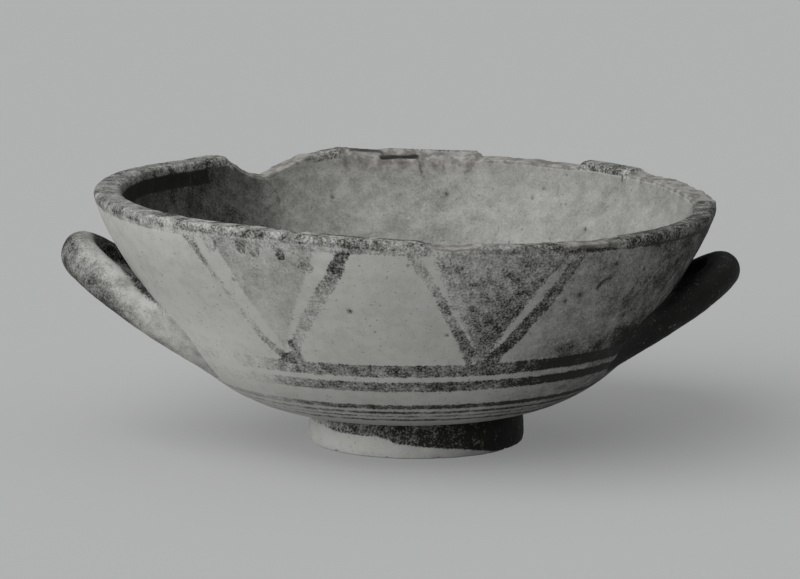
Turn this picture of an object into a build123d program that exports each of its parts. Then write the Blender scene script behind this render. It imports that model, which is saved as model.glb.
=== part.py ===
from build123d import *
from math import cos, pi, radians, sin, tan
import os

# A wide, shallow drinking cup of coarse fired clay. The potter threw the bowl, turned a low foot
# ring, rolled two handles, and luted foot and handles on with slip. Millimetres, +Z up. The origin
# is at the middle of the foot's resting face. +X is to the right of someone facing the painted
# front, and +Y points away from them. The bowl's own axis stands a little left of the foot's.

# Bowl: its outside is three arcs that run into each other, from the flat underside's edge (heel)
# to a soft shoulder, by a nearly straight wall to the neck, and more upright from there to the rim.
# Shoulder and neck lie at shares of the way from heel to rim, out and up. The wall leaves the
# shoulder leaning out this many degrees more than a straight line to the neck.
bowl_axis_x = -2.5
heel_radius = 33.0
heel_height = 11.8
shoulder_out_share = 0.632
shoulder_up_share = 0.335
neck_out_share = 0.883
neck_up_share = 0.731
wall_bow_degrees = 2.3
rim_radius = 104.8
rim_height = 84.0
rim_lean = 1.5
wall = 6.4
lip_wall = 8.8
floor_wall = 6.0
lip_outer_round = 3.2
lip_inner_round = 2.2

# Foot ring
foot_stand_out = 2.9
foot_bulge = 0.6
foot_bulge_height = 3.9
foot_face_width = 6.6
foot_top_width = 11.8
foot_edge_round = 0.9

# Handles: the rolled strap, and for left and right how far its middle line stands off the wall at
# the tip, how high it lies there, and how high it starts, a root's depth inside the wall
strap_thick = 11.8
strap_wide = 11.4
root_swell_share = 0.16
root_depth = 10.0
root_spread = 27.0
handle_dip_share = 0.05
left_stand_off = 14.7
left_tip_height = 65.0
left_root_height = 36.4
right_stand_off = 13.1
right_tip_height = 58.2
right_root_height = 34.2
strap_section_count = 11
nudge_share = 0.01
halving_count = 40

# Slip film in every luted joint, and how far a piece or a cutter is drawn past where it is cut
slip_film = 0.1
cut_overrun = 8.0

# Breaks in the lip: the bearing of each one's middle, in degrees from +X towards +Y, its length
# round the lip, its depth below the lip, and its outline as shares of that length and depth. Each
# outline starts and ends a little above the lip, on the same slant as its first and last edge.
back_break_bearing = 119.0
back_break_length = 46.0
back_break_depth = 7.8
back_break_shares = [
    (-0.70, 0.15),
    (-0.34, -0.15),
    (-0.17, -0.37),
    (-0.02, -0.66),
    (0.08, -1.0),
    (0.19, -0.78),
    (0.29, -0.54),
    (0.36, -0.10),
    (0.56, 0.15),
]
side_break_bearing = 26.0
side_break_length = 58.0
side_break_depth = 2.3
side_break_shares = [(-0.61, 0.30), (-0.30, -0.72), (0.14, -0.88), (0.38, -1.0), (0.50, 0.33)]
far_break_bearing = 64.5
far_break_length = 42.0
far_break_depth = 1.9
far_break_shares = [(-0.54, 0.33), (-0.42, -0.66), (0.10, -0.74), (0.44, -1.0), (0.55, 0.38)]
near_break_bearing = -82.5
near_break_length = 22.0
near_break_depth = 2.0
near_break_shares = [(-0.63, 0.30), (-0.08, -1.0), (0.10, -0.90), (0.63, 0.30)]

os.makedirs("parts", exist_ok=True)

bowl_axis = Axis((bowl_axis_x, 0, 0), (0, 0, 1))
section_plane = Plane(origin=(bowl_axis_x, 0, 0), x_dir=(1, 0, 0), z_dir=(0, -1, 0))
lip_slope = tan(radians(rim_lean))
heel_point = Vector(heel_radius, heel_height)
rim_point = Vector(rim_radius, rim_height)


def on_the_way(out_share, up_share):
    """A point at shares of the way from heel to rim, out and up."""
    way = rim_point - heel_point
    return heel_point + Vector(way.X * out_share, way.Y * up_share)


# The outside of the wall, drawn once: every other line of the bowl runs beside these three arcs
shoulder_point = on_the_way(shoulder_out_share, shoulder_up_share)
neck_point = on_the_way(neck_out_share, neck_up_share)
shoulder_way = (neck_point - shoulder_point).normalized().rotate(Axis.Z, -wall_bow_degrees)
with BuildLine() as outside:
    lower_wall = TangentArc(shoulder_point, heel_point, tangent=-shoulder_way)
    middle_wall = TangentArc(shoulder_point, neck_point, tangent=shoulder_way)
    upper_wall = TangentArc(neck_point, rim_point, tangent=middle_wall % 1)


def beside(point, upward, inward):
    """A point moved square to the wall's upward direction, towards the inside of the bowl."""
    return Vector(point.X - upward.Y * inward, point.Y + upward.X * inward)


def draw_side(inward, lip_inward, underside_height):
    """Draw one side of the wall, from the bowl's axis out to the heel and up past the lip."""
    middle = Vector(0, underside_height)
    heel = beside(heel_point, -(lower_wall % 1), inward)
    shoulder = beside(shoulder_point, shoulder_way, inward)
    neck = beside(neck_point, middle_wall % 1, inward)
    lip = beside(rim_point, upper_wall % 1, lip_inward)
    to_lip = TangentArc(neck, lip, tangent=middle_wall % 1, mode=Mode.PRIVATE)
    top = to_lip @ (1 + cut_overrun / to_lip.length)
    Line(middle, heel)
    TangentArc(shoulder, heel, tangent=-shoulder_way)
    TangentArc(shoulder, neck, tangent=shoulder_way)
    TangentArc(neck, top, tangent=middle_wall % 1)
    return middle, top


# The space that the bowl's outside fills, one slip film larger: what is luted on is cut to it
with BuildPart() as seat_space:
    with BuildSketch(section_plane):
        with BuildLine():
            seat_middle, seat_top = draw_side(-slip_film, -slip_film, heel_height - slip_film)
            Polyline(seat_top, (0, seat_top.Y), seat_middle)
        make_face()
    revolve(axis=bowl_axis)

# What broke off the lip, as one body: wedges drawn on the lip's outside and run through the wall
breaks = [
    (back_break_bearing, back_break_length, back_break_depth, back_break_shares),
    (side_break_bearing, side_break_length, side_break_depth, side_break_shares),
    (far_break_bearing, far_break_length, far_break_depth, far_break_shares),
    (near_break_bearing, near_break_length, near_break_depth, near_break_shares),
]
with BuildPart() as broken_off:
    for bearing, length, depth, shares in breaks:
        out_x = cos(radians(bearing))
        out_y = sin(radians(bearing))
        lip_here = rim_height - rim_radius * out_x * lip_slope
        cut_plane = Plane(
            origin=(bowl_axis_x + out_x * rim_radius, out_y * rim_radius, lip_here),
            x_dir=(-out_y, out_x, 0),
            z_dir=(out_x, out_y, 0),
        )
        with BuildSketch(cut_plane):
            with BuildLine():
                edge = [(along * length, down * depth) for along, down in shares]
                corner_right = (edge[-1][0], cut_overrun)
                corner_left = (edge[0][0], cut_overrun)
                Polyline(*edge, corner_right, corner_left, close=True)
            make_face()
        extrude(amount=lip_wall * 2, both=True)

# Bowl: thrown wall, with the lip cut level on the wheel but leaning a little on its foot
with BuildPart() as bowl:
    with BuildSketch(section_plane):
        with BuildLine():
            outer_middle, outer_top = draw_side(0, 0, heel_height)
            inner_middle, inner_top = draw_side(wall, lip_wall, heel_height + floor_wall)
            Line(outer_top, inner_top)
            Line(inner_middle, outer_middle)
        make_face()
    revolve(axis=bowl_axis)
    lip_plane = Plane(origin=(bowl_axis_x, 0, rim_height), z_dir=(lip_slope, 0, 1))
    split(bisect_by=lip_plane, keep=Keep.BOTTOM)
    lip_face = bowl.faces().filter_by(GeomType.PLANE).sort_by(Axis.Z)[-1]
    fillet(lip_face.outer_wire().edges(), lip_outer_round)
    lip_face = bowl.faces().filter_by(GeomType.PLANE).sort_by(Axis.Z)[-1]
    fillet(lip_face.inner_wires()[0].edges(), lip_inner_round)
    add(broken_off.part, mode=Mode.SUBTRACT)
bowl.part.label = "bowl"
export_step(bowl.part, "parts/bowl.step")

# Foot ring: turned, with a slightly swelling side, an undercut hollow and a flat resting face
with BuildPart() as foot_ring:
    foot_radius = heel_radius + foot_stand_out
    with BuildSketch(Plane.XZ):
        with BuildLine():
            base_outer = (foot_radius, 0)
            base_inner = (foot_radius - foot_face_width, 0)
            side_top = (foot_radius - foot_bulge, heel_height)
            over_outer = (side_top[0], heel_height + cut_overrun)
            over_inner = (side_top[0] - foot_top_width, over_outer[1])
            hollow_top = (over_inner[0], heel_height - slip_film)
            ThreePointArc(base_outer, (foot_radius + foot_bulge, foot_bulge_height), side_top)
            Polyline(side_top, over_outer, over_inner, hollow_top, base_inner, base_outer)
        make_face()
    revolve(axis=Axis.Z)
    resting_face = foot_ring.faces().sort_by(Axis.Z)[0]
    fillet(resting_face.edges(), foot_edge_round)
    add(seat_space.part, mode=Mode.SUBTRACT)
foot_ring.part.label = "foot_ring"
export_step(foot_ring.part, "parts/foot_ring.step")


def wall_radius_at(height):
    """The bowl's outside radius at a height, found by halving along the arc that passes it."""
    arc = lower_wall
    if height > shoulder_point.Y:
        arc = middle_wall
    if height > neck_point.Y:
        arc = upper_wall
    low, high = sorted([0.0, 1.0], key=lambda share: (arc @ share).Y)
    for step in range(halving_count):
        middle = (low + high) / 2
        if (arc @ middle).Y < height:
            low = middle
        else:
            high = middle
    return (arc @ low).X


def strap_planes(side, stand_off, tip_height, root_height):
    """Planes square to a handle's middle line, root to root, and how much the strap swells at each."""
    root_out = (wall_radius_at(root_height) ** 2 - root_spread ** 2) ** 0.5 - root_depth
    run = wall_radius_at(tip_height) + stand_off - root_out
    rise = tip_height - root_height

    def middle_line(turn):
        out_share = sin(turn)
        up_share = out_share - handle_dip_share * sin(pi * out_share)
        out = bowl_axis_x + side * (root_out + run * out_share)
        return Vector(out, -root_spread * cos(turn), root_height + rise * up_share)

    step = pi / (strap_section_count - 1)
    nudge = step * nudge_share
    rows = []
    for place in range(strap_section_count):
        turn = place * step
        along = (middle_line(turn + nudge) - middle_line(turn - nudge)).normalized()
        lift = Vector(-side * rise, 0, run).normalized()
        across = along.cross(lift).normalized()
        swell = 1 + root_swell_share * (1 - sin(turn)) ** 3
        rows.append((Plane(origin=middle_line(turn), x_dir=across, z_dir=along), swell))
    return rows


# Handles: a rolled strap bent into a horseshoe, thickest where it is pressed on to the wall
handle_places = [
    ("handle_left", -1, left_stand_off, left_tip_height, left_root_height),
    ("handle_right", 1, right_stand_off, right_tip_height, right_root_height),
]
handles = []
for handle_name, side, stand_off, tip_height, root_height in handle_places:
    with BuildPart() as handle:
        for strap_plane, swell in strap_planes(side, stand_off, tip_height, root_height):
            with BuildSketch(strap_plane):
                Ellipse(strap_wide / 2 * swell, strap_thick / 2 * swell)
        loft()
        add(seat_space.part, mode=Mode.SUBTRACT)
    handle.part.label = handle_name
    export_step(handle.part, "parts/" + handle_name + ".step")
    handles.append(handle.part)

whole = Compound(children=[bowl.part, foot_ring.part] + handles)
size = whole.bounding_box().size
print("Overall size", round(size.X, 1), round(size.Y, 1), round(size.Z, 1))
for piece in whole.children:
    print(piece.label, "volume in cubic centimetres", round(piece.volume / 1000, 1), "valid", piece.is_valid)
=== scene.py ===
# %% [markdown]
# # A two-handled footed cup of fired clay
# The cup was thrown on a wheel, stands on a turned foot ring, and has two rolled handles luted on
# with slip. Its dark painted pattern is worn, and its lip is chipped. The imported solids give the
# sizes. Here each of the four pieces gets the skin that centuries of use and burial have left on it.

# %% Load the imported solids
import math
import bpy
import numpy as np
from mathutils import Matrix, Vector


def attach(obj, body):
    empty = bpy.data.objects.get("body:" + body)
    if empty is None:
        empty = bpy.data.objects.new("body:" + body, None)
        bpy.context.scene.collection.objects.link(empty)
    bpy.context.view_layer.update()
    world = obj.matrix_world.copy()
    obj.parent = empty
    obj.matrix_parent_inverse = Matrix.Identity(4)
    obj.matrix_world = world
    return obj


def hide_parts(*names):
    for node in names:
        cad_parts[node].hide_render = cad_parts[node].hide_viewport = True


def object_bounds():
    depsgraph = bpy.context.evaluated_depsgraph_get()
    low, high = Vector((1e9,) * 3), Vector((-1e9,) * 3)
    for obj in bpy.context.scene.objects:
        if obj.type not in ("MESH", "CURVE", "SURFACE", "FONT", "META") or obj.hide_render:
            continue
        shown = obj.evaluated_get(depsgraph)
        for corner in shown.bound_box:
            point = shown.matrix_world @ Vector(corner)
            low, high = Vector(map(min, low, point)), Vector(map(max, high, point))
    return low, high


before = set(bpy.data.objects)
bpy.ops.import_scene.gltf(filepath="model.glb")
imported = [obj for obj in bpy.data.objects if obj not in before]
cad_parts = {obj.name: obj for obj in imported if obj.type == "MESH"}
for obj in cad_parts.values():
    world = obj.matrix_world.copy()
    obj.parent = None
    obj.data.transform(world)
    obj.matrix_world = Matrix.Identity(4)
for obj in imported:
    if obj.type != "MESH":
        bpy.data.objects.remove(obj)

mm = 0.001
cad_low, cad_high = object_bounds()
print("Solids, in mm:", [round((high - low) / mm, 1) for low, high in zip(cad_low, cad_high)])

# %% [markdown]
# ## The camera
# The picture was taken from about 1.8 m away with a long lens, a little above the lip. The camera
# stands on the line through the foot's middle, and is turned so that the foot lands low and just
# right of the picture's middle. A long lens keeps the lip's ellipse flat, as it is in the picture.

# %% Make the camera
picture_width_px = 800
focal_px = 5269.0
sensor_width = 36.0
camera_back = 1750 * mm
camera_up = 350 * mm
foot_right_of_middle_px = 16.8
foot_below_middle_px = 148.7

camera_data = bpy.data.cameras.new("camera")
camera_data.sensor_width = sensor_width
camera_data.lens = focal_px * sensor_width / picture_width_px
camera = bpy.data.objects.new("camera", camera_data)
bpy.context.scene.collection.objects.link(camera)
look_down = math.atan2(camera_up, camera_back) - math.atan(foot_below_middle_px / focal_px)
turn_left = math.atan(foot_right_of_middle_px / focal_px)
camera.location = (0, -camera_back, camera_up)
camera.rotation_euler = (math.pi / 2 - look_down, 0, turn_left)
bpy.context.scene.camera = camera
print("Lens", round(camera_data.lens), "mm, looking down", round(math.degrees(look_down), 2), "degrees")

# %% [markdown]
# ## A helper for materials
# A material is a web of small nodes that read marks, make noise, add and mix. This class gives each
# kind of node a plain word. Tones are given as they look on a screen, and made linear.

# %% A small helper that wires materials
def linear(tone):
    """The linear value of a tone that is read off a screen, from 0 to 255."""
    share = tone / 255
    return share / 12.92 if share <= 0.04045 else ((share + 0.055) / 1.055) ** 2.4


def colour(red, green, blue):
    return (linear(red), linear(green), linear(blue), 1)


class Web:
    """A material in the making: each method adds a node and gives back its result."""

    def __init__(self, name):
        self.material = bpy.data.materials.new(name)
        self.material.use_nodes = True
        self.tree = self.material.node_tree
        self.tree.nodes.clear()

    def node(self, kind, **values):
        """Add a node, and set its own values or its sockets by name."""
        node = self.tree.nodes.new(kind)
        for name, value in values.items():
            if hasattr(node, name):
                setattr(node, name, value)
            else:
                node.inputs[name.replace("_", " ")].default_value = value
        return node

    def join(self, value, socket):
        if hasattr(value, "links"):
            self.tree.links.new(value, socket)
        else:
            socket.default_value = value

    def mark(self, name):
        return self.node("ShaderNodeAttribute", attribute_name=name).outputs["Fac"]

    def noise(self, grain, detail=2.0, roughness=0.55):
        scale = 1 / (grain * mm)
        node = self.node("ShaderNodeTexNoise", Scale=scale, Detail=detail, Roughness=roughness)
        self.join(self.node("ShaderNodeTexCoord").outputs["Object"], node.inputs["Vector"])
        return node.outputs["Fac"]

    def work_out(self, operation, first, second):
        node = self.node("ShaderNodeMath", operation=operation)
        self.join(first, node.inputs[0])
        self.join(second, node.inputs[1])
        return node.outputs[0]

    def plus(self, first, second):
        return self.work_out("ADD", first, second)

    def times(self, first, second):
        return self.work_out("MULTIPLY", first, second)

    def weigh(self, first, first_weight, second, second_weight):
        return self.plus(self.times(first, first_weight), self.times(second, second_weight))

    def ramp(self, value, low, high, start=0.0, end=1.0):
        node = self.node("ShaderNodeMapRange", interpolation_type="SMOOTHSTEP")
        for socket, setting in zip(("Value", "From Min", "From Max", "To Min", "To Max"),
                                   (value, low, high, start, end)):
            self.join(setting, node.inputs[socket])
        return node.outputs[0]

    def limit(self, value, low, high):
        node = self.node("ShaderNodeClamp", Min=low, Max=high)
        self.join(value, node.inputs["Value"])
        return node.outputs[0]

    def mix(self, share, first, second):
        node = self.node("ShaderNodeMix", data_type="RGBA")
        self.join(share, node.inputs[0])
        self.join(first, node.inputs[6])
        self.join(second, node.inputs[7])
        return node.outputs[2]

    def finish(self, shader):
        output = self.node("ShaderNodeOutputMaterial")
        self.join(shader.outputs[0], output.inputs["Surface"])
        return self.material


print("Tone 128 is", round(linear(128), 3), "in linear light")

# %% [markdown]
# ## The floor
# The cup stands on a plain pale sheet, here one large square. To the camera the sheet glows a
# little, like paper on a light table, which keeps its shadow pale. What it throws back on the cup
# is the light of a plain grey sheet.

# %% Make the floor
floor_half = 6.0
floor_shown = (0.193, 0.196, 0.195)
floor_glow = (0.182, 0.185, 0.184)
floor_thrown_back = (0.40, 0.40, 0.40)

floor_mesh = bpy.data.meshes.new("floor")
floor_corners = [(-floor_half, -floor_half, 0), (floor_half, -floor_half, 0),
                 (floor_half, floor_half, 0), (-floor_half, floor_half, 0)]
floor_mesh.from_pydata(floor_corners, [], [(0, 1, 2, 3)])
floor = bpy.data.objects.new("floor", floor_mesh)
bpy.context.scene.collection.objects.link(floor)

web = Web("pale_sheet")
rays = web.node("ShaderNodeLightPath")
seen = web.work_out("MAXIMUM", rays.outputs["Is Camera Ray"], rays.outputs["Is Glossy Ray"])
seen = web.work_out("MAXIMUM", seen, rays.outputs["Is Transmission Ray"])
shown = web.node("ShaderNodeBsdfDiffuse", Color=(*floor_shown, 1))
glow = web.node("ShaderNodeEmission", Color=(*floor_glow, 1))
thrown = web.node("ShaderNodeBsdfDiffuse", Color=(*floor_thrown_back, 1))
both = web.node("ShaderNodeAddShader")
mix = web.node("ShaderNodeMixShader")
web.join(seen, mix.inputs[0])
for shader, node, socket in ((shown, both, 0), (glow, both, 1), (thrown, mix, 1), (both, mix, 2)):
    web.join(shader.outputs[0], node.inputs[socket])
floor_mesh.materials.append(web.finish(mix))
print("Floor", 2 * floor_half, "m square")

# %% [markdown]
# ## The light
# One broad light comes from the left, a little in front, so the right side and the left of the
# inside fall darker. A second, weaker light hangs overhead and keeps the shadow close to the foot.
# Sun lamps with wide angles light the whole sheet evenly, with very soft shadows, and a dim room
# fills them.

# %% Hang the lamps and fill the room
key_strength = 3.85
key_from_left_degrees = 50.0
key_height_degrees = 39.0
key_softness_degrees = 75.0
top_strength = 1.2
top_height_degrees = 85.0
top_softness_degrees = 110.0
room_strength = 0.14


def add_sun(name, strength, softness_degrees, from_left_degrees, height_degrees):
    """A sun lamp that shines from the left of the camera, at a height above the horizon."""
    data = bpy.data.lights.new(name, "SUN")
    data.energy = strength
    data.angle = math.radians(softness_degrees)
    lamp = bpy.data.objects.new(name, data)
    bpy.context.scene.collection.objects.link(lamp)
    left, height = math.radians(from_left_degrees), math.radians(height_degrees)
    lamp_from = Vector((-math.sin(left) * math.cos(height), -math.cos(left) * math.cos(height),
                        math.sin(height)))
    lamp.rotation_euler = lamp_from.to_track_quat("Z", "Y").to_euler()


add_sun("key", key_strength, key_softness_degrees, key_from_left_degrees, key_height_degrees)
add_sun("top", top_strength, top_softness_degrees, key_from_left_degrees, top_height_degrees)

world = bpy.data.worlds.new("room")
world.use_nodes = True
background = world.node_tree.nodes["Background"]
background.inputs["Color"].default_value = (1, 1, 1, 1)
background.inputs["Strength"].default_value = room_strength
bpy.context.scene.world = world
bpy.context.scene.view_settings.view_transform = "Standard"
print("Lamps", key_strength, "and", top_strength, "in a room of", room_strength)

# %% [markdown]
# ## Helpers: arcs, noise and tables
# Every clay piece here is a sheet of points in rows and columns, so that it can be bent, worn and
# painted with plain arithmetic before it becomes a mesh. An arc that leaves a point in a given
# direction draws the profiles. Noise is a block of random numbers, smoothly joined, for the hand's
# unevenness, the grit and the wear. The same seed gives the same cup each time.

# %% Arcs, noise and tables
lattice_size = 8192
lattice_steps = np.array([73856093, 19349663, 83492791])


def arc_points(start, way, end, count):
    """Points of the arc that leaves start in the direction way and arrives at end."""
    start, way, end = (np.array(value, float) for value in (start, way, end))
    way = way / np.hypot(*way)
    across = np.array([-way[1], way[0]])
    chord = end - start
    bend = 2 * (chord @ across) / (chord @ chord)
    turn = 2 * math.atan2(chord @ across, chord @ way)
    share = np.linspace(0, 1, count)[:, None]
    if abs(turn) < 1e-6:
        return start + share * chord
    angle = share * turn
    return start + (np.sin(angle) * way + (1 - np.cos(angle)) * across) / bend


def arc_end_way(start, way, end):
    """The direction in which that arc arrives."""
    chord = np.array(end, float) - np.array(start, float)
    angle = 2 * math.atan2(chord[1], chord[0]) - math.atan2(way[1], way[0])
    return np.array([math.cos(angle), math.sin(angle)])


def noise(points, grain, seed):
    """Soft hills from -1 to 1, about one grain apart, at each of the points."""
    lattice = np.random.default_rng(seed).uniform(-1, 1, lattice_size)
    cells = points / grain
    corner = np.floor(cells).astype(np.int64)
    inside = cells - corner
    inside = inside * inside * (3 - 2 * inside)
    total = np.zeros(points.shape[:-1])
    for offset in np.ndindex(2, 2, 2):
        spot = (corner + offset) * lattice_steps
        value = lattice[(spot[..., 0] ^ spot[..., 1] ^ spot[..., 2]) % lattice_size]
        total += value * np.where(np.equal(offset, 1), inside, 1 - inside).prod(-1)
    return total


def noises(points, *layers):
    """Several noises on top of each other, each given as (strength, grain, seed)."""
    return sum(strength * noise(points, grain, seed) for strength, grain, seed in layers)


def ramp(value, low, high):
    """0 up to low, 1 from high on, and a soft ramp between. It falls where low is above high."""
    share = np.clip((value - low) / (high - low), 0, 1)
    return share * share * (3 - 2 * share)


def read_table(places, at):
    """The value at every place, read from a short table of (place, value) with straight lines."""
    table_places, values = np.array(places, float).T
    return np.interp(at, table_places, values)


def unit(vectors):
    """Vectors of the same direction and of length 1."""
    return vectors / np.maximum(np.linalg.norm(vectors, axis=-1, keepdims=True), 1e-9)


print("Noise draws on", lattice_size, "random numbers")

# %% [markdown]
# ## From points to a mesh
# A thrown piece closes on itself, so its sheet of points has no left or right edge. Where the rows
# end, a fan of triangles closes the skin. The marks of wear and paint go on the points, where the
# material can read them.

# %% Turn a sheet of points into a mesh
mark_names = ("stroke", "stroke_load", "stain", "stain_load", "fresh", "rough", "pit", "inner", "pale")


def sheet_normals(points):
    """The outward direction at each point of a sheet whose columns run round the piece."""
    along = np.roll(points, -1, 0) - np.roll(points, 1, 0)
    down = np.gradient(points, axis=1)
    return unit(np.cross(down, along))


def sheet_to_object(name, points, marks, looped=False):
    """An object of a sheet whose columns run round. Its rows end in two poles, or loop as well."""
    columns, rows = points.shape[:2]
    places = points.reshape(-1, 3)
    row_steps = rows if looped else rows - 1
    column, row = np.meshgrid(np.arange(columns), np.arange(row_steps), indexing="ij")
    after, below = (column + 1) % columns, (row + 1) % rows
    corners = [column * rows + row, column * rows + below, after * rows + below, after * rows + row]
    faces = np.stack(corners, -1).reshape(-1, 4).tolist()
    if not looped:
        ring = np.arange(columns)
        next_ring = (ring + 1) % columns
        first = np.full(columns, len(places))
        places = np.vstack([places, points[:, 0].mean(0), points[:, -1].mean(0)])
        faces += np.stack([first, ring * rows, next_ring * rows], -1).tolist()
        faces += np.stack([first + 1, (next_ring + 1) * rows - 1, (ring + 1) * rows - 1], -1).tolist()
    mesh = bpy.data.meshes.new(name)
    mesh.from_pydata((places * mm).tolist(), [], faces)
    for mark in mark_names:
        values = (marks.get(mark, 0.0) + np.zeros((columns, rows))).ravel()
        if not looped:
            values = np.append(values, [values[0], values[-1]])
        attribute = mesh.attributes.new(mark, "FLOAT", "POINT")
        attribute.data.foreach_set("value", values.astype(np.float32))
    mesh.shade_smooth()
    mesh.update()
    piece = bpy.data.objects.new(name, mesh)
    bpy.context.scene.collection.objects.link(piece)
    print(name, "has", len(mesh.vertices), "points and", len(mesh.polygons), "faces")
    return piece


# %% [markdown]
# ## The bowl's profile
# The wall is three arcs that run into each other: from the underside's edge to a soft shoulder, a
# nearly straight wall to the neck, and a more upright stretch to the rim. The inside runs beside
# them, thicker at the lip. Radii count from the bowl's own axis, a little left of the foot's.

# %% Draw outside and inside
axis_x = -2.5
heel = np.array([33.0, 11.8])
rim = np.array([104.8, 84.0])
shoulder = heel + (rim - heel) * (0.632, 0.335)
neck = heel + (rim - heel) * (0.883, 0.731)
wall_bow = math.radians(2.3)
wall = 6.4
lip_wall = 8.8
floor_wall = 6.0
overrun = 8.0
skin = 0.05
curve_steps = 80


def beside(point, way, inward):
    """A point moved square to the wall's upward direction, towards the inside."""
    return np.array([point[0] - way[1] * inward, point[1] + way[0] * inward])


def wall_curve(inward, lip_inward):
    """Radius and height from the heel to above the rim, at a distance in from the drawn outside."""
    chord = neck - shoulder
    angle = math.atan2(chord[1], chord[0]) - wall_bow
    shoulder_way = np.array([math.cos(angle), math.sin(angle)])
    heel_way = -arc_end_way(shoulder, -shoulder_way, heel)
    neck_way = arc_end_way(shoulder, shoulder_way, neck)
    rim_way = arc_end_way(neck, neck_way, rim)
    here = [beside(heel, heel_way, inward), beside(shoulder, shoulder_way, inward),
            beside(neck, neck_way, inward), beside(rim, rim_way, lip_inward)]
    lower = arc_points(here[1], -shoulder_way, here[0], curve_steps)[::-1]
    middle = arc_points(here[1], shoulder_way, here[2], curve_steps)
    upper = arc_points(here[2], neck_way, here[3], curve_steps)
    top = here[3] + arc_end_way(here[2], neck_way, here[3]) * overrun
    return np.vstack([lower, middle[1:], upper[1:], top])


outside_curve = wall_curve(skin, skin)
inside_curve = wall_curve(wall, lip_wall)


def outside_radius(height):
    return np.interp(height, outside_curve[:, 1], outside_curve[:, 0])


def inside_radius(height):
    return np.interp(height, inside_curve[:, 1], inside_curve[:, 0])


print("Wall radius half way up", round(float(outside_radius(44.0)), 1), "mm")

# %% [markdown]
# ## The lip and its breaks
# The lip leans: it is higher at the left than at the right, and rises and dips as thrown lips do.
# Pieces have broken off, the largest a notch at the back left. The table tells, for bearings
# counted from +X towards +Y, how far each break goes down. The whole lip was rounded by the
# potter's fingers, and the breaks have nearly sharp edges.

# %% Height and roundness of the lip at every bearing
column_count = 840
rim_lean = math.radians(1.5)
rim_dip = 1.15
lip_top_limit = 86.45
bearing = np.arange(column_count) * 360 / column_count
round_bearing = np.radians(bearing)

break_places = [
    (0, 0), (1.5, -1), (10, -1.1), (20, -1.2), (28, -1), (34, -1.5), (37, -1.5), (38.2, 0.2),
    (51.6, 0.2), (52.6, -1.9), (58, -2.1), (64, -1.7), (70, -1.8), (75.4, -1.9), (76.6, 0.6), (84, 0.7),
    (97, 1.1), (104, 1.7), (106, 0.9), (110.3, -0.5), (113, -1.2), (114.5, -2.4), (116.7, -3.9),
    (118.5, -5), (120.1, -6), (121.4, -6.6), (123, -6.5), (124.8, -5.8), (127, -4.2), (128.6, -2.8),
    (130.2, -0.7), (131.2, 1.1), (133.5, 1.1), (140, 0.5), (165, 0.6), (180, 0.6), (192, 0), (213.4, 0),
    (214.6, -1.8), (215.8, -1.6), (217, 0), (247.5, 0), (249, -1), (250.5, 0), (271.5, 0),
    (274, -0.9), (277.5, -1.7), (279.5, -1.4), (283, -0.6), (298, -0.5), (301, -0.9), (311, -0.7),
    (314, 0), (360, 0),
]
lip_drop = read_table(break_places, bearing)
circle = np.stack([np.cos(round_bearing), np.sin(round_bearing), np.zeros(column_count)], -1) * rim[0]
lip_drop += noises(circle, (0.12, 2.6, 1)) * ramp(-lip_drop, 0.2, 1.2)
lip_drop += noises(circle, (0.05, 3.5, 2), (0.12, 12.0, 3))
lip_height = rim[1] - rim[0] * np.cos(round_bearing) * math.tan(rim_lean)
lip_height += rim_dip * np.sin(2 * round_bearing) + lip_drop
lip_height = np.minimum(lip_height, lip_top_limit)
broken = ramp(-lip_drop, 0.45, 1.0)

inner_break_places = [(0, 0), (74, 0), (77, -2.6), (83, -3.6), (92, -2.8), (99, -3.4), (103, -2.2),
                      (106, 0), (360, 0)]
inner_drop = read_table(inner_break_places, bearing)
inner_drop += noises(circle, (0.8, 3.0, 4)) * ramp(-inner_drop, 0.5, 2.0)
print("Lip from", round(lip_height.min(), 1), "to", round(lip_height.max(), 1), "mm high")

# %% [markdown]
# ## The bowl as one sheet
# A thrown bowl has one profile all the way round, except at its lip. So a line of points is drawn
# for each bearing, from the middle of the floor over the lip to the middle of the underside. Each
# line has its own lip height, which makes the breaks without cutting.

# %% Build the bowl's sheet of points
floor_rows = 26
inside_wall_rows = 104
corner_rows = 7
lip_rows = 9
outside_rows = 146
underside_rows = 16
whole_outer_round = 2.9
whole_inner_round = 2.4
broken_round = 0.7
pole_radius = 0.8
left_lip_spread = 1.0


def along_curve(curve, top_height, rows):
    """Evenly spaced points of a curve, from its start up to a height, one column per height."""
    steps = np.hypot(*np.diff(curve, axis=0).T)
    length = np.append(0, np.cumsum(steps))
    top_length = np.interp(top_height, curve[:, 1], length)
    place = top_length[:, None] * np.linspace(0, 1, rows)
    return np.stack([np.interp(place, length, curve[:, 0]), np.interp(place, length, curve[:, 1])], -1)


def bend_corner(before, corner, after, rows):
    """A rounded corner, from one point by way of the sharp corner to the next."""
    share = np.linspace(0, 1, rows)[None, :, None]
    before, corner, after = (value[:, None] for value in (before, corner, after))
    return before * (1 - share) ** 2 + corner * 2 * share * (1 - share) + after * share ** 2


def straight(start, end, rows):
    """Evenly spaced points from start to end, for every column."""
    share = np.linspace(0, 1, rows)[None, :, None]
    return start * (1 - share) + end * share


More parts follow.
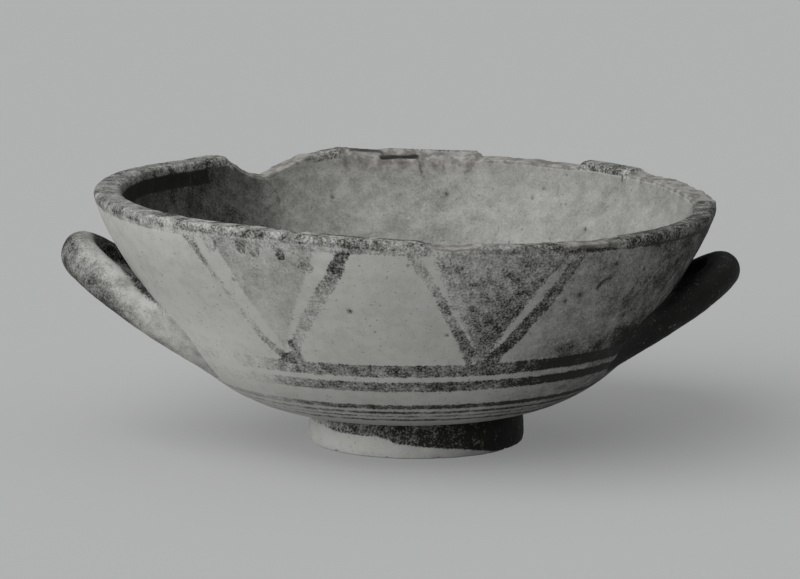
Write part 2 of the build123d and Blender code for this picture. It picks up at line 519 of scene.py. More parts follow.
outer_round = whole_outer_round + (broken_round - whole_outer_round) * broken
inner_round = whole_inner_round + (broken_round - whole_inner_round) * broken
lip_spread = left_lip_spread * ramp(-np.cos(round_bearing), 0.55, 0.95)
outer_sharp = np.stack([outside_radius(lip_height) + lip_spread, lip_height], -1)
inner_height = lip_height + inner_drop
inner_sharp = np.stack([inside_radius(inner_height), inner_height], -1)
top_way = unit(outer_sharp - inner_sharp)
outer_below = lip_height - outer_round
inner_below = inner_height - inner_round
outside_part = along_curve(outside_curve, outer_below, outside_rows)[:, ::-1]
outside_part[..., 0] += lip_spread[:, None] * ramp(outside_part[..., 1], 55.0, 82.0)
inside_part = along_curve(inside_curve, inner_below, inside_wall_rows)
outer_on_top = outer_sharp - top_way * outer_round[:, None]
inner_on_top = inner_sharp + top_way * inner_round[:, None]
outer_corner = bend_corner(outer_on_top, outer_sharp, outside_part[:, 0], corner_rows)
inner_corner = bend_corner(inside_part[:, -1], inner_sharp, inner_on_top, corner_rows)
lip_top = straight(inner_on_top[:, None], outer_on_top[:, None], lip_rows)
inside_middle, under_middle = np.array([[pole_radius, heel[1] + floor_wall], [pole_radius, heel[1]]])
inside_floor = straight(inside_middle, inside_part[:, :1], floor_rows)
underside = straight(outside_part[:, -1:], under_middle, underside_rows)
parts = [inside_floor, inside_part, inner_corner, lip_top, outer_corner, outside_part]
profile = np.concatenate([part[:, :-1] for part in parts] + [underside], 1)
lip_start = floor_rows + inside_wall_rows - 2
lip_end = lip_start + 2 * (corner_rows - 1) + lip_rows - 1
heel_row = profile.shape[1] - underside_rows
bowl_points = np.stack([
    axis_x + profile[..., 0] * np.cos(round_bearing)[:, None],
    profile[..., 0] * np.sin(round_bearing)[:, None],
    profile[..., 1],
], -1)
rows = np.arange(profile.shape[1])
on_lip = ((rows >= lip_start) & (rows <= lip_end))[None, :]
on_inside = (rows < lip_start)[None, :]
on_outside = ((rows > lip_end) & (rows < heel_row))[None, :]
print("Bowl sheet", bowl_points.shape)

# %% [markdown]
# ## The painted pattern
# The painter drew with thinned clay slip that fires dark: a band round the lip, hanging triangles
# with an outline and a fill, two wide bands at the shoulder, and fine lines down to the foot. Each
# stroke is a distance in millimetres from its edge, positive inside, because a distance stays crisp
# when the material breaks its edge up with noise.

# %% Place the pattern, seen from the front
from_front = (bearing[:, None] + 90 + 180) % 360 - 180 + 0 * profile[..., 0]
height = profile[..., 1] + 0 * from_front
radius = profile[..., 0]
from_face = np.where(np.abs(from_front) < 90, from_front, (from_front + 360) % 360 - 180)
slant_share = 0.88

bands = [(39.9, 35.5), (33.5, 30), (24.3, 22.5), (21.3, 20.4), (19.3, 18.8), (17.6, 16.8)]
left_arms = [
    ([(-44.8, 82.7), (-43.2, 78.6), (-41.2, 72), (-38.5, 63.8), (-34.2, 46.6), (-30.6, 41.3)],
     [(-41.8, 83.4), (-40.9, 76.4), (-39.3, 70.5), (-36.9, 61.2), (-32.5, 48.3), (-28.9, 43)]),
    ([(-0.9, 81.5), (2, 72.9), (5.5, 64), (7.4, 56.7), (11, 47.4), (13.2, 41)],
     [(0.5, 82.2), (2.9, 75.3), (7.3, 62.2), (9.3, 55.9), (14.3, 45.4)]),
]
right_arms = [
    ([(-12.5, 81.4), (-14, 76.9), (-16.1, 70.5), (-19.3, 63.1), (-22.6, 55.5), (-26.1, 47),
      (-28.2, 41)],
     [(-10.1, 81.6), (-11.5, 75), (-13.7, 67.9), (-16.7, 61.6), (-20.2, 54), (-24.6, 45)]),
    ([(31.7, 78.2), (29.7, 70.6), (26.6, 61.1), (21, 47.7), (19, 44.2), (16.8, 40.5)],
     [(34.2, 78.4), (31.7, 70.2), (29.9, 61.7), (26.7, 54.3), (24.5, 48), (20.9, 41.8)]),
]
fills = [
    ([(-39.1, 83.7), (-36.4, 73.9), (-34, 61), (-30.6, 49), (-29, 41)],
     [(-16.1, 80.8), (-18.3, 72), (-22.2, 59.2), (-25.5, 49.7), (-28.2, 41)]),
    ([(3.4, 82.8), (6.8, 69.3), (9.7, 58.4), (14.2, 47.1), (14.8, 40)],
     [(31.2, 79), (25.9, 67.6), (21.8, 55.6), (18.9, 46.9), (17.8, 40)]),
]
blots = [(-31.4, 80.3, 2, 3, 0.5), (-28.6, 79, 1.8, 2.4, 0.5), (-23.5, 78.7, 1.6, 2.4, 0.5),
         (-18.9, 74.4, 2.6, 2.4, 0.26), (-38, 80.3, 2.6, 3, 0.25), (-28.2, 40.2, 3.6, 2.6, 0.75),
         (-14.7, 69.2, 1.2, 2.2, 0.4), (-26.4, 45.9, 1.4, 2, 0.6), (51.3, 57.5, 3.2, 7, 0.5)]
shape_foot = bands[0][1] + 2.0


def round_mm(degrees):
    """Millimetres along the wall for an angle at the bowl's axis."""
    return np.radians(degrees) * radius


def edge_at(places):
    """The bearing of a painted edge at every point's height, from a few (bearing, height) places."""
    return read_table([(up, edge_bearing) for edge_bearing, up in places[::-1]], height)


def between(left_places, right_places, top):
    """Distance in mm inside a shape between two slanting edges, under a top and above its foot."""
    to_mm = round_mm(1) * slant_share
    across = np.minimum(from_face - edge_at(left_places), edge_at(right_places) - from_face)
    return np.minimum(across * to_mm, np.minimum(top - height, height - shape_foot))


print(len(bands), "bands,", len(left_arms + right_arms), "outlines and", len(fills), "fills")

# %% [markdown]
# ## How much of the paint is left
# The right side kept its paint and looks nearly black. Towards the left it thins out to specks.
# Every stroke therefore carries a load from 0, rubbed off, to 1, whole, and the material breaks low
# loads up. The back isn't in the picture, so it carries the pattern again, as such cups do.

# %% Lay the bands, the outlines and the blots
deep = 9.0
fine_band_top = 25.0
fine_band_load = 0.22
arm_top = 83.5
arm_sharpness = 0.5
layers = {name: [np.full(height.shape, -deep), np.zeros(height.shape)]
          for name in ("stain", "stroke")}


def paint(layer, distance, new_load, where=on_outside):
    """Lay one stroke on a layer: where strokes cross, the one a point lies deepest in counts."""
    depth, load = layers[layer]
    deeper = where & (distance > depth)
    for kept, laid in ((load, new_load), (depth, distance)):
        kept[deeper] = np.broadcast_to(laid, kept.shape)[deeper]


high_share = ramp(height, 50.0, 76.0)
patches = noise(bowl_points, 7.0, 23)
band_load = read_table([
    (-180, 0.7), (-120, 0.5), (-75, 0.02), (-44, 0.03), (-37, 0.14), (-31, 0.39), (-24, 0.53),
    (0, 0.67), (20, 0.74), (30, 1.02), (37, 1.3), (90, 1.3), (130, 0.85), (180, 0.7)], from_front)
for top, bottom in bands:
    finer = fine_band_load if top < fine_band_top else 0.0
    inside_band = np.minimum(top - height, height - bottom)
    paint("stroke", inside_band, band_load + finer + 0.08 * patches)
left_loads = [0.13 + 0.34 * ramp(height, 67, 77) + 0.3 * ramp(height, 54, 44),
              0.62 - 0.34 * high_share]
right_loads = [0.26 + 0.52 * ramp(height, 63, 78) + 0.2 * ramp(height, 49, 43),
               0.78 - 0.28 * high_share]
arm_spreads = [-0.05, 0.15, -0.05, 0.15]
arms = zip(left_arms + right_arms, left_loads + right_loads, arm_spreads)
for (left_edge, right_edge), arm_load, spread in arms:
    inside_arm = between(left_edge, right_edge, arm_top) * arm_sharpness + spread
    paint("stroke", inside_arm, arm_load + 0.10 * patches)
for blot_bearing, blot_height, half_width, half_height, blot_load in blots:
    across = round_mm(from_front - blot_bearing) / half_width
    depth = (1 - np.hypot(across, (height - blot_height) / half_height)) * min(half_width, half_height)
    paint("stroke", depth, blot_load + 0.15 * patches)
print("Share painted", round((layers["stroke"][0] > 0).mean(), 2))

# %% [markdown]
# ## The paint of the lip
# Lips lose their paint first, because they are touched and knocked most. A band runs round the
# outside, darker and deeper at the right, and flakes are left on top. Inside, a dark line follows
# the front edge, and a short band is darkest at the left.

# %% Lay the lip's paint
across_mm = round_mm(from_face)
rim_band_low = read_table([
    (-180, 79), (-75, 82.6), (-50, 81.8), (0, 79.5), (37, 77.3), (60, 76.2), (72, 75.4),
    (110, 76.5), (180, 79)], from_front)
rim_load = 0.12 * patches + read_table([
    (-180, 0.36), (-120, 0.4), (-75, 0.38), (-50, 0.22), (-30, 0.2), (0, 0.32), (18, 0.4),
    (28, 0.62), (36, 0.95), (100, 0.95), (125, 0.55), (142, 0.48), (160, 0.38), (180, 0.34)],
    from_front)
paint("stroke", height - rim_band_low, rim_load)
patchy = 0.4 + 0.6 * ramp(np.abs(from_front + 40), 30, 12)
lip_load = 0.46 + 0.42 * rim_load + patchy * noises(bowl_points, (0.30, 3.6, 26), (0.18, 2.1, 29))
paint("stroke", deep, lip_load, on_lip)
inner_corner_rows = ((rows > lip_start) & (rows < lip_start + corner_rows + 4))[None, :]
front_edge = np.minimum(across_mm + 44.0, 16.0 - across_mm)
paint("stroke", np.minimum(front_edge, 1.0) + deep, 0.85 + 0.2 * patches,
      inner_corner_rows & (front_edge > 0) & (np.abs(from_front) < 90))
inner_band_wide = 8.0
inner_band_from = 137
inner_depth = np.minimum(height - (lip_height[:, None] - inner_band_wide),
                         round_mm(bearing[:, None] - inner_band_from))
inner_load = read_table([(0, 0.2), (137, 0.97), (185, 0.97), (215, 0.6), (300, 0.3), (360, 0.2)],
                        bearing[:, None])
paint("stroke", inner_depth, inner_load, on_inside)
print("Lip's band starts", rim_band_low.min(), "to", rim_band_low.max(), "mm up")

# %% [markdown]
# ## Fills, stains and painted shade on the outside
# The left triangle's fill has washed out to a grey stain. The right one still shows streaks of the
# brush and a dark wedge down its middle. A stain is a softer layer under the strokes. On the right
# of the wall it is partly a worn wash and partly painted shade of the side turned from the light.
# Behind the left handle it is painted shade, where the gap behind the handle lies in shade.

# %% Lay the fills, the outside's stains and its painted shade
fill_top = 84.0
fill_sharpness = 0.3
streak_place = np.stack([(across_mm + height * 0.6) * 0.9,
                         (height - across_mm * 0.5) * 0.25, 0 * height], -1)
streaks = noises(streak_place, (1.0, 1.6, 21), (0.6, 3.4, 22))
wedge_middle = np.interp(height, (50, 70), (17.5, 21.5))
wedge_half = np.interp(height, (50, 70), (3.0, 7.5))
wedge = ramp(np.abs(from_face - wedge_middle), wedge_half * 1.3, wedge_half * 0.4)
wedge *= ramp(height, 75.0, 66.0)
fill_loads = [
    0.17 + 0.14 * high_share + 0.10 * patches,
    0.27 + 0.38 * (1 - high_share) ** 2 + 0.17 * wedge + 0.10 * high_share + 0.16 * streaks]
for (left_edge, right_edge), fill_load, layer in zip(fills, fill_loads, ("stain", "stroke")):
    paint(layer, between(left_edge, right_edge, fill_top) * fill_sharpness, fill_load)
# Partly a worn wash, partly painted shade: the right of the wall turns from the light, and is darker
# low down.
right_stain_and_shade = read_table([(-180, 0), (20, 0), (27, 0.24), (36, 0.45), (45, 0.50), (60, 0.78),
                         (90, 0.95), (125, 0.4), (150, 0), (180, 0)], from_front)
right_stain_and_shade = right_stain_and_shade * (1 + 0.25 * patches) * (1 + 0.4 * ramp(height, 52.0, 42.0))
right_stain_and_shade = right_stain_and_shade * (0.55 + 0.45 * ramp(height, 38.0, 40.0))
paint("stain", 0.4, right_stain_and_shade)
# Painted shade on the wall behind the left handle, where its gap lies in shade.
shade_behind_left_handle = ramp(np.abs(from_front + 90), 24.0, 6.0) * ramp(height, 70.0, 52.0)
shade_behind_left_handle *= ramp(height, 38.0, 48.0)
paint("stain", np.where(shade_behind_left_handle > 0.02, 1.0, -deep), 0.6 * shade_behind_left_handle * (1 + 0.3 * patches))
print("Share stained", round((layers["stain"][0] > 0).mean(), 2))

# %% [markdown]
# ## The stain and painted shade inside
# A thin wash of slip inside has worn to clouds with slanting scratches, pale at the back. At the
# left it is dark, partly slip and partly painted shade, where the left wall shades the inside. It
# evens out towards the middle of the floor. Fresh clay shows where the lip broke and flaked, the
# back of the inside is rough, and low on the left the outside is made paler as painted light.

# %% Stain and shade the inside, and mark bare, rough and painted-light clay
# Partly slip, partly painted shade: the load climbs at the left, from bearing 118 to 240, where the
# left wall shades the inside.
inner_wash_and_shade = read_table([
    (0, 0.52), (30, 0.50), (60, 0.43), (90, 0.30), (105, 0.26), (118, 0.38), (128, 0.8),
    (136, 0.9), (200, 0.88), (240, 0.65), (300, 0.55), (360, 0.52)], bearing[:, None])
inner_mm = round_mm(bearing[:, None])
scratch_place = np.stack([(inner_mm + height) * 0.8, (height - inner_mm) * 0.18,
                          0 * height], -1)
scratches = noise(scratch_place, 1.8, 27)
scratches += noise(scratch_place[..., ::-1] + inner_mm[..., None] * 0.3, 2.2, 28)
scratches = scratches * (ramp(np.minimum(bearing, 360 - bearing), 2, 12)
                         * (0.3 + 0.7 * ramp(bearing, 60, 90)))[:, None]
inner_wash_and_shade = 0.4 + (inner_wash_and_shade - 0.4) * ramp(radius, 6, 55)
inner_wash_and_shade += inner_wash_and_shade * (1.05 - inner_wash_and_shade) * (0.3 * patches + 0.2 * scratches)
paint("stain", deep, inner_wash_and_shade, on_inside)

rough = ramp(bearing, 70, 84) * (1 - ramp(bearing, 122, 132))
rough = rough[:, None] * (on_inside | on_lip)
near_inner_edge = (rows > lip_start - 3) & (rows < lip_end - 6)
inner_broken = ramp(-inner_drop, 0.6, 1.8)[:, None] * near_inner_edge
fresh = np.maximum(on_lip * broken[:, None], inner_broken)
# Painted light: the low left of the outside is lifted to a paler clay tone.
painted_light_on_wall = 0.5 * ramp(from_front, -28, -50) * ramp(height, 58, 42) * on_outside
print("Inside stain from", round(inner_wash_and_shade.min(), 2), "to", round(inner_wash_and_shade.max(), 2))

# %% [markdown]
# ## Wheel marks and grit
# The clay was pulled up by hand while it turned, so the wall has shallow rings, a slow wobble and
# coarse grains. Each point will move square to the surface by their sum. The lip is worn in waves.

# %% Add up wheel marks, grit and wear
grit = noises(bowl_points, (0.5, 2.4, 12), (0.35, 1.3, 13))
ring_place = np.stack([height * 0.7, radius * 0.5, 0 * height], -1)
ring_marks = noises(ring_place, (1.0, 2.2, 15), (0.6, 4.6, 16))
lip_wear = on_lip | (on_outside & (height > lip_height[:, None] - 4.5))
push = noises(bowl_points, (0.13, 38.0, 11)) + 0.06 * grit + 0.05 * ring_marks
push += lip_wear * patchy * (noises(bowl_points, (0.13, 4.5, 24), (0.09, 2.6, 25)) - 0.06)
push += np.where(on_inside, 0.04 * ring_marks - 0.02 * grit, 0)
push += rough * (noises(bowl_points, (0.16, 4.5, 17)) + 0.10 * grit)
push += fresh * noises(bowl_points, (0.30, 3.2, 18), (0.18, 1.5, 19))
print("Wear from", round(push.min(), 2), "to", round(push.max(), 2), "mm")

# %% [markdown]
# ## Pits and a gouge
# Round pits are left where coarse grains fell out, and a tool left a crescent gouge on the right.
# They are soft dents, and a mark tells the material to darken them.

# %% Cut the pits and the gouge
outside_pits = [
    (41.9, 72.2, 0.7), (51, 68.4, 0.6), (35.6, 62.5, 0.75), (32.5, 60.6, 0.65), (-11.6, 59.4, 0.7),
    (28.8, 79.3, 0.8), (8, 51, 0.45), (-35, 68, 0.45), (62, 50, 0.6)]
inside_pits = [(81.8, 69.8, 0.8), (45.5, 61.7, 0.6), (107.2, 69.3, 0.6), (62, 70, 0.5)]
wall_slant = 1.15
pit_mark = np.zeros(height.shape)


def cut_pits(pits, bearings, slant, where, pit_depth, darkness):
    """Cut and mark round pits, given as (bearing, height, size), on one side of the wall."""
    for pit_bearing, pit_height, pit_size in pits:
        up = (height - pit_height) * slant
        hole = where * np.exp(-(np.hypot(round_mm(bearings - pit_bearing), up) / pit_size) ** 2)
        push[:] -= pit_depth * hole
        pit_mark[:] = np.maximum(pit_mark, np.minimum(darkness * hole, 1.0))


cut_pits(outside_pits, from_front, wall_slant, on_outside, 0.55, 1.3)
cut_pits(inside_pits, bearing[:, None], 1.0, on_inside, 0.4, 1.0)
gouge_across = round_mm(from_front - 40.7) - 2.4
gouge_up = height - 63.8
gouge_away = np.abs(np.hypot(gouge_across / 4.4, gouge_up / 3.4) - 1) * 3.8
gouge = on_outside * np.exp(-(gouge_away / 0.6) ** 2)
gouge *= ramp(gouge_across, 0.6, -0.2) * ramp(gouge_up, -0.6, 0.2)
push -= 0.45 * gouge
pit_mark = np.maximum(pit_mark, gouge)
print("Pits", len(outside_pits), "outside and", len(inside_pits), "inside")

# %% [markdown]
# ## Cracks, and the finished skin
# A kinked crack crosses the lip at the back, and hairlines run down the inside. Each is a chain of
# (bearing, height) places, with half its width and its darkness. Then the points move by all the
# wear. The underside stays calm, because the foot ring joins it, and the skin is held inside the
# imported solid's box.

# %% Cut the cracks and make the bowl
cracks = [
    ([(102, 84.6), (95.4, 83.8), (95.6, 82.4)], 0.35, 0.8),
    ([(95.8, 82.3), (88.6, 82.5)], 0.65, 1),
    ([(88.4, 82.4), (87.2, 75.8)], 0.2, 0.6),
    ([(123.5, 79.2), (120, 71.5), (119.8, 67.3)], 0.15, 0.45),
    ([(68.1, 61.6), (69.5, 54.6)], 0.1, 0.3),
    ([(56.1, 74.8), (56, 71.3)], 0.1, 0.3),
    ([(39.6, 80.8), (39.4, 78.8)], 0.35, 0.8),
]
crack_mark = np.zeros(height.shape)
crack_cut = np.zeros(height.shape)
for crack_points, half_width, darkness in cracks:
    for (bearing_a, height_a), (bearing_b, height_b) in zip(crack_points[:-1], crack_points[1:]):
        from_a = np.stack([round_mm(bearing[:, None] - bearing_a),
                           (height - height_a) * wall_slant], -1)
        a_to_b = np.stack([round_mm(bearing_b - bearing_a),
                           (height_b - height_a) * wall_slant + 0 * height], -1)
        share = np.clip((from_a * a_to_b).sum(-1) / (a_to_b ** 2).sum(-1), 0, 1)
        away = np.linalg.norm(from_a - share[..., None] * a_to_b, axis=-1)
        crack_mark = np.maximum(crack_mark, darkness * ramp(half_width - away, -0.35, 0.1))
        crack_cut = np.maximum(crack_cut, half_width * ramp(away, half_width + 0.6, half_width))
push -= (on_inside | on_lip) * crack_cut
pit_mark = np.maximum(pit_mark, (on_inside | on_lip) * crack_mark)

box_margin = 0.02
calm = np.where(rows >= heel_row - 2, 0.0, 1.0)[None, :]
bowl_points = bowl_points + sheet_normals(bowl_points) * (push * calm)[..., None]
bowl_points[:, heel_row - 1:, 2] = np.maximum(bowl_points[:, heel_row - 1:, 2], heel[1])
side_limit = max(abs(cad_low[1]), abs(cad_high[1])) / mm - box_margin
bowl_points[..., 1] = np.clip(bowl_points[..., 1], -side_limit, side_limit)
bowl_points[..., 2] = np.minimum(bowl_points[..., 2], cad_high[2] / mm - box_margin)
bowl_marks = {"fresh": fresh, "rough": rough, "pit": pit_mark, "inner": on_inside, "pale": painted_light_on_wall}
for name, (depth, load) in layers.items():
    bowl_marks[name] = depth
    bowl_marks[name + "_load"] = load
bowl = sheet_to_object("bowl_skin", bowl_points, bowl_marks)

# %% [markdown]
# ## The foot ring
# The foot was thrown as a thick ring, turned true when leather hard, and luted under the bowl a
# little to the right of its middle. It has a slight swelling, a worn resting edge and an open
# hollow. Its paint ends in a slanting edge, where the brush met the clay as the cup was turned
# upside down in the hand.

# %% Build the foot ring
foot_columns = 420
foot_flare = 2.9
foot_radius = heel[0] + foot_flare
bulge = 0.6
bulge_height = 3.9
foot_face_width = 6.6
foot_top_width = 11.8
edge_round = 0.9
foot_top = heel[1] - 0.1
side_rows = 56
side_height = np.linspace(foot_top, edge_round, side_rows)
above_bulge = side_height - bulge_height
swell_reach = np.where(above_bulge < 0, bulge_height, heel[1] - bulge_height)
side_out = np.where(above_bulge < 0, foot_radius, foot_radius - bulge)
side_out = side_out + (foot_radius + bulge - side_out) * (1 - (above_bulge / swell_reach) ** 2)
edge_turn = np.linspace(0, math.pi / 2, 7)[1:]
outer_edge = np.stack([side_out[-1] - edge_round * (1 - np.cos(edge_turn)),
                       edge_round * (1 - np.sin(edge_turn))], -1)
inner_face = foot_radius - foot_face_width
face = np.stack([np.linspace(outer_edge[-1, 0], inner_face + edge_round, 10)[1:], np.zeros(9)], -1)
inner_edge = np.stack([inner_face + edge_round * (1 - np.sin(edge_turn)),
                       edge_round * (1 - np.cos(edge_turn))], -1)
hollow_top_radius = foot_radius - bulge - foot_top_width
hollow = np.linspace(inner_edge[-1], [hollow_top_radius, foot_top], 24)[1:]
top_line = np.linspace([hollow_top_radius, foot_top], [foot_radius - bulge, foot_top], 16)[1:-1]
side = np.stack([side_out, side_height], -1)
foot_profile = np.vstack([side, outer_edge, face, inner_edge, hollow, top_line])
foot_round = np.radians(np.arange(foot_columns) * 360 / foot_columns)
foot_points = np.stack([
    foot_profile[None, :, 0] * np.cos(foot_round)[:, None],
    foot_profile[None, :, 0] * np.sin(foot_round)[:, None],
    foot_profile[None, :, 1] + 0 * foot_round[:, None],
], -1)
print("Foot sheet", foot_points.shape)

# %% [markdown]
# ## Wear and paint of the foot
# The resting edge knocks against every table, so it has small chips, and the side keeps faint
# turning marks. The painted edge slants down to the right, from a table of bearing, height, load.

# %% Wear the foot's surface and mark its paint
foot_front = (np.degrees(foot_round)[:, None] + 90 + 180) % 360 - 180 + 0 * foot_points[..., 2]
foot_height = foot_points[..., 2]
foot_places = np.stack([foot_height * 0.9, foot_height * 0, foot_height * 0], -1)
foot_push = -0.12 + noises(foot_points, (0.14, 15.0, 31), (0.07, 2.2, 32))
foot_push += noises(foot_places, (0.10, 2.0, 33))
chips = [(-48, 0.1, 0.6), (12, 0.1, 0.5), (57, 0.1, 0.7), (-140, 0.2, 2.4), (131, 0.4, 1.8)]
foot_fresh = np.zeros(foot_height.shape)
for chip_bearing, chip_height, chip_size in chips:
    turn_away = (foot_front - chip_bearing + 180) % 360 - 180
    across = np.radians(turn_away) * foot_radius
    out_away = np.hypot(foot_points[..., 0], foot_points[..., 1]) - foot_radius
    away = np.sqrt(across ** 2 + (foot_height - chip_height) ** 2 + (out_away * 0.8) ** 2) / chip_size
    hole = np.exp(-away ** 2) * ramp(3.5 + out_away, 0, 1)
    foot_push -= 0.7 * hole
    foot_fresh = np.maximum(foot_fresh, ramp(hole, 0.25, 0.6))
foot_calm = ramp(foot_top - foot_height, 0.0, 0.6)
foot_points = foot_points + sheet_normals(foot_points) * (foot_push * foot_calm)[..., None]
foot_points[..., 2] = np.clip(foot_points[..., 2], 0, foot_top)

foot_edge_places = [
    (-180, 1.5, 0.85), (-120, 7, 0.4), (-90, 8.5, 0.3), (-62, 8, 0.35), (-45, 7.2, 0.7),
    (-20, 7.2, 0.80), (-9, 5.1, 0.87), (24, 2.9, 1.12), (50, 0.3, 1.25), (90, -2, 1.25),
    (180, 1.5, 0.85)]
edge_bearings, edge_heights, edge_loads = np.array(foot_edge_places, float).T
foot_stroke = foot_height - np.interp(foot_front, edge_bearings, edge_heights)
foot_load = np.interp(foot_front, edge_bearings, edge_loads)
outside_rows_only = (np.arange(len(foot_profile)) < side_rows + 6)[None, :]
foot_stroke = np.where(outside_rows_only, foot_stroke, -deep)
foot_stain = 0.02 + 0.03 * ramp(foot_front, -30, 0) + noises(foot_points, (0.09, 3.5, 34))
# Painted light: the whole foot takes the paler clay tone, standing in for light that the bowl's
# overhang keeps off it.
foot_marks = {"stroke": foot_stroke, "stroke_load": foot_load, "stain": deep,
              "stain_load": foot_stain, "fresh": foot_fresh, "pale": 1.0}
foot_ring = sheet_to_object("foot_skin", foot_points, foot_marks, looped=True)

# %% [markdown]
# ## The handles
# Each handle is a rolled strap bent to a horseshoe, with both roots pressed on the wall. Its middle
# line rises from one root to a tip and comes back, as a half ellipse that sags a little. The left
# one stands out further and higher, and its near arm was pressed broader.

# %% Draw a handle's middle line
root_depth = 10.0
root_spread = 27.0
handle_dip_share = 0.05
handles = {
    "handle_left": {"side": -1, "stand_off": 14.25, "tip_height": 65.0, "root_height": 36.4, "seed": 41,
                    "near_arm_swell": 0.18},
    "handle_right": {"side": 1, "stand_off": 13.1, "tip_height": 58.2, "root_height": 34.2, "seed": 51,
                     "near_arm_swell": 0.0},
}


def handle_middle(turn, side, stand_off, tip_height, root_height, **other):
    """Points of a handle's middle line, for a turn from 0 at the near root to pi at the far one."""
    root_out = math.sqrt(outside_radius(root_height) ** 2 - root_spread ** 2) - root_depth
    run = outside_radius(tip_height) + stand_off - root_out
    out_share = np.sin(turn)
    up_share = out_share - handle_dip_share * np.sin(math.pi * out_share)
    return np.stack([axis_x + side * (root_out + run * out_share), -root_spread * np.cos(turn),
                     root_height + (tip_height - root_height) * up_share], -1)


for handle_name, values in handles.items():
    tip = handle_middle(np.array([math.pi / 2]), **values)[0]
    print(handle_name, "has its tip at", tip.round(1), "mm")

# %% [markdown]
# ## From the line to the strap
# Rings of points follow the middle line. Close to the wall they swell and run out along it, as a
# smear of wet slip does. Points that would come through the wall are held back inside it, so the
# root closes out of sight.

# %% Lay rings of points round the line
strap_thick = 11.8
strap_wide = 11.4
root_swell_share = 0.16
root_bury = 3.0
root_start = 12.5
root_overrun = 0.2
smear = 7.0
inner_smear = 2.0
line_steps = 2001
handle_rings = 230
handle_columns = 84


def from_axis(points):
    """Distance of each point from the bowl's own axis."""
    return np.hypot(points[..., 0] - axis_x, points[..., 1])


def past_wall(points):
    """How far each point stands out of the bowl's outside."""
    return from_axis(points) - outside_radius(points[..., 2])


def stretch_from_axis(points, times):
    """Move points straight away from the bowl's axis, to so many times their distance."""
    points[..., 0] = axis_x + (points[..., 0] - axis_x) * times
    points[..., 1] *= times


def rings_on_line(values):
    """Rings of points round a handle's middle line, the turn of each ring, and the spokes."""
    turn = np.linspace(-root_overrun, math.pi + root_overrun, line_steps)
    turn = turn[past_wall(handle_middle(turn, **values)) > -root_start]
    turn = np.linspace(turn[0], turn[-1], handle_rings)
    line = handle_middle(turn, **values)
    tangent = unit(np.gradient(line, axis=0))
    tip, root = handle_middle(np.array([math.pi / 2, 0.0]), **values)
    lift = np.array([-values["side"] * (tip[2] - root[2]), 0, abs(tip[0] - root[0])])
    across = unit(np.cross(tangent, lift))
    up = np.cross(tangent, across)
    swell = 1 + root_swell_share * (1 - np.sin(turn)) ** 3
    angle = -np.linspace(0, 2 * math.pi, handle_columns, endpoint=False)[:, None, None]
    thicker = values["near_arm_swell"] * ramp(turn, 2.1, 1.2)[:, None]
    up_half, across_half = up * strap_thick / 2, across * strap_wide / 2
    spoke = np.cos(angle) * across_half + np.sin(angle) * up_half * (1 + thicker)
    closing = ramp(np.minimum(turn - turn[0], turn[-1] - turn), -0.02, 0.06)
    spoke = spoke * (swell * closing)[None, :, None]
    return line + up_half * thicker + spoke, turn, unit(spoke)


def smear_on_wall(points, spoke, away):
    """Run the root out along the wall. It also gives how squarely each point faces the wall."""
    out = from_axis(points)
    lean = outside_radius(points[..., 2] + 0.5) - outside_radius(points[..., 2] - 0.5)
    square = unit(np.stack([(points[..., 0] - axis_x) / out, points[..., 1] / out, -lean], -1))
    facing_wall = -(spoke * square).sum(-1)
    along_wall = spoke + facing_wall[..., None] * square
    reach = smear + (inner_smear - smear) * ramp(facing_wall, -0.1, 0.5)
    near = reach - np.clip(away, 0, reach)
    points = points + along_wall * (reach - np.sqrt(reach ** 2 - near ** 2))[..., None]
    stretch_from_axis(points, 1 + (away - past_wall(points)) / from_axis(points) * (near > 0))
    return points, facing_wall


def handle_sheet(values):
    """The worn points of a handle, how far each stands off the wall, and where it gets painted shade.
    """
    points, turn, spoke = rings_on_line(values)
    away = past_wall(points)
    points, facing_wall = smear_on_wall(points, spoke, away)
    seed = values["seed"]
    push = noises(points, (0.20, 16.0, seed), (0.15, 6.0, seed + 1), (0.07, 2.2, seed + 2)) - 0.25
    points = points + spoke * (push * ramp(away, -1.0, 3.0))[..., None]
    held = np.maximum(from_axis(points), outside_radius(points[..., 2]) - root_bury)
    stretch_from_axis(points, held / from_axis(points))
    tip_share = ramp(np.abs(turn - 1.15), 0.95, 0.35)
    return points, away, facing_wall - 0.5 * tip_share


print("A handle's sheet has", handle_columns, "by", handle_rings, "points")

# %% [markdown]
# ## The wash and painted shade on the handles
# The right handle kept its whole dark slip. On the left one only a worn wash is left, thicker
# towards the tip. Its inner side, which faces the wall, and the narrow gap behind it are painted
# dark as shade.

# %% Build the two handles
handle_objects = {}
for handle_name, values in handles.items():
    points, away, shaded_side = handle_sheet(values)
    # The right handle's dark is its slip; on the left handle it is painted shade, set below.
    wash, slip_and_shade = 0.0, 1.3
    if values["side"] < 0:
        wash = 0.10 + 0.68 * ramp(away, 4, 17)
        wash += noises(points, (0.16, 7.0, 61), (0.15, 3.0, 62))
        # Painted shade: darken the side that faces the wall, and the narrow gap near the root.
        gap_shade = ramp(shaded_side, -0.1, 0.2) * ramp(away, 4.0, 1.5)
        gap_shade *= ramp(points[..., 2], 49.5, 53.0)
        slip_and_shade = 0.95 * np.maximum(ramp(shaded_side, 0.35, 0.7), gap_shade)
    handle_marks = {"stroke": deep, "stroke_load": slip_and_shade, "stain": deep, "stain_load": wash}
    handle_objects[handle_name] = sheet_to_object(handle_name + "_skin", points, handle_marks)

# %% [markdown]
# ## Clay and slip
# Both materials are wired from the same marks. The clay is a dull buff with darker clouds from the
# fire and fine grains. The slip is brown black and smoother. A stroke's distance is roughened with
# noise before it is cut at its edge, and its load is compared with noise, which leaves the speckled
# wear of an old painted surface.

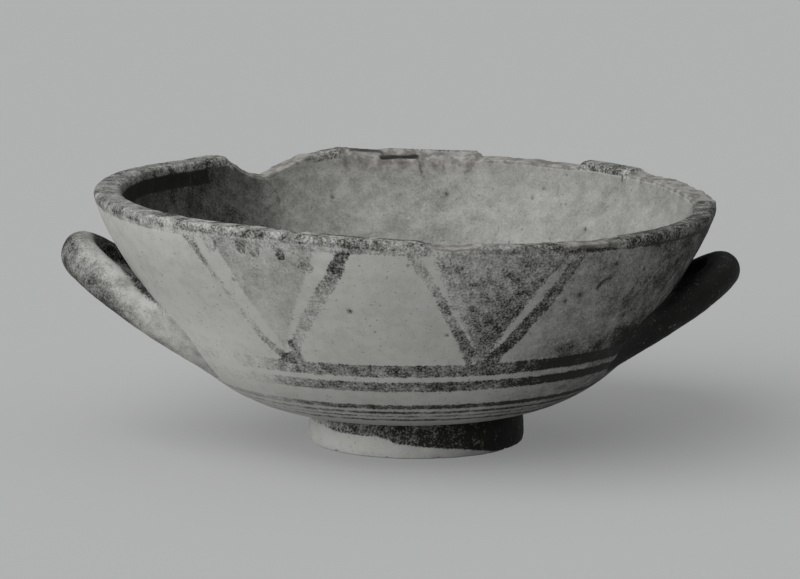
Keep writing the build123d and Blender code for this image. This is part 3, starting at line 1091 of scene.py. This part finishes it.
# %% Wire the clay of the bowl, the foot and the handles
painted_light_tone = colour(184, 184, 181)
dark_grain = colour(94, 93, 88)
pinhole = colour(66, 65, 61)
pale_dust = colour(184, 183, 179)
rough_clay = colour(106, 105, 100)
fresh_tones = (colour(128, 127, 123), colour(98, 97, 93))
pit_dark = colour(28, 27, 25)
layer_contrasts = {"stain": (0.4, 2.2), "stroke": (1.7, 4.0)}
inside_contrast = 0.4


def clay_material(name, light_clay, dark_clay, slip):
    """Fired clay with worn slip, wired from the marks that every piece carries."""
    web = Web(name)
    clouds = web.noise(16.0, 3.0)
    blotches = web.noise(4.0, 4.0, 0.65)
    grains = web.noise(0.75, 3.0, 0.7)
    dust = web.noise(0.35, 1.0)
    wear_grain = web.weigh(grains, 0.5, blotches, 0.5)
    cloud_share = web.weigh(clouds, 0.55, blotches, 0.45)
    clay = web.mix(web.ramp(cloud_share, 0.40, 0.62), light_clay, dark_clay)
    # Painted light: the pale mark lifts the clay to a lighter tone on the foot and the low left wall.
    clay = web.mix(web.mark("pale"), clay, painted_light_tone)
    clay = web.mix(web.times(web.ramp(grains, 0.60, 0.74), 0.22), clay, dark_grain)
    holes = web.ramp(web.noise(1.1, 0.0), 0.75, 0.84)
    clay = web.mix(web.times(holes, 0.5), clay, pinhole)
    clay = web.mix(web.times(web.ramp(dust, 0.60, 0.75), 0.22), clay, pale_dust)
    rough_share = web.ramp(wear_grain, 0.40, 0.62, 0.2, 0.48)
    clay = web.mix(web.times(web.mark("rough"), rough_share), clay, rough_clay)
    fresh_clay = web.mix(web.ramp(blotches, 0.42, 0.6), *fresh_tones)

    unevenness = web.work_out("SUBTRACT", web.weigh(grains, 0.60, blotches, 0.40), 0.5)
    painted = clay
    for layer, (faintest, strongest) in layer_contrasts.items():
        ragged = web.plus(web.mark(layer), web.times(unevenness, 2.4))
        load = web.mark(layer + "_load")
        contrast = web.times(web.ramp(load, 0.0, 0.5, faintest, strongest),
                                web.ramp(web.mark("inner"), 0.0, 1.0, 1.0, inside_contrast))
        speckled = web.plus(load, web.times(unevenness, contrast))
        stroke = web.times(web.ramp(ragged, -0.25, 0.25), web.limit(speckled, 0.0, 0.99))
        painted = web.mix(stroke, painted, slip)
    painted = web.mix(web.times(web.mark("fresh"), 0.85), painted, fresh_clay)
    painted = web.mix(web.mark("pit"), painted, pit_dark)

    height = web.plus(web.weigh(grains, 1.0, dust, 0.35), web.times(stroke, 0.12))
    bump = web.node("ShaderNodeBump", Strength=0.5, Distance=0.2 * mm)
    web.join(height, bump.inputs["Height"])
    shader = web.node("ShaderNodeBsdfPrincipled")
    web.join(painted, shader.inputs["Base Color"])
    web.join(web.ramp(stroke, 0.0, 1.0, 0.88, 0.66), shader.inputs["Roughness"])
    web.join(0.18, shader.inputs["Specular IOR Level"])
    web.join(bump.outputs["Normal"], shader.inputs["Normal"])
    return web.finish(shader)


painted_clay = clay_material("painted_clay", colour(164, 164, 161), colour(157, 157, 153),
                             colour(23, 23, 20))
handle_clay = clay_material("handle_clay", colour(160, 160, 157), colour(150, 150, 146),
                            colour(16, 16, 14))
print("Materials", painted_clay.name, handle_clay.name)

# %% [markdown]
# ## Take the solids' places
# Each skin stands for one imported solid. The solid is hidden, and the skin takes its place, its body
# and its material name, so that the cup stays an assembly of the same four pieces.

# %% Hand the skins over
skins = {"bowl": bowl, "foot_ring": foot_ring, **handle_objects}
for node_name, skin_object in skins.items():
    is_handle = node_name.startswith("handle")
    skin_object.data.materials.append(handle_clay if is_handle else painted_clay)
    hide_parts(node_name)
    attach(skin_object, "root")
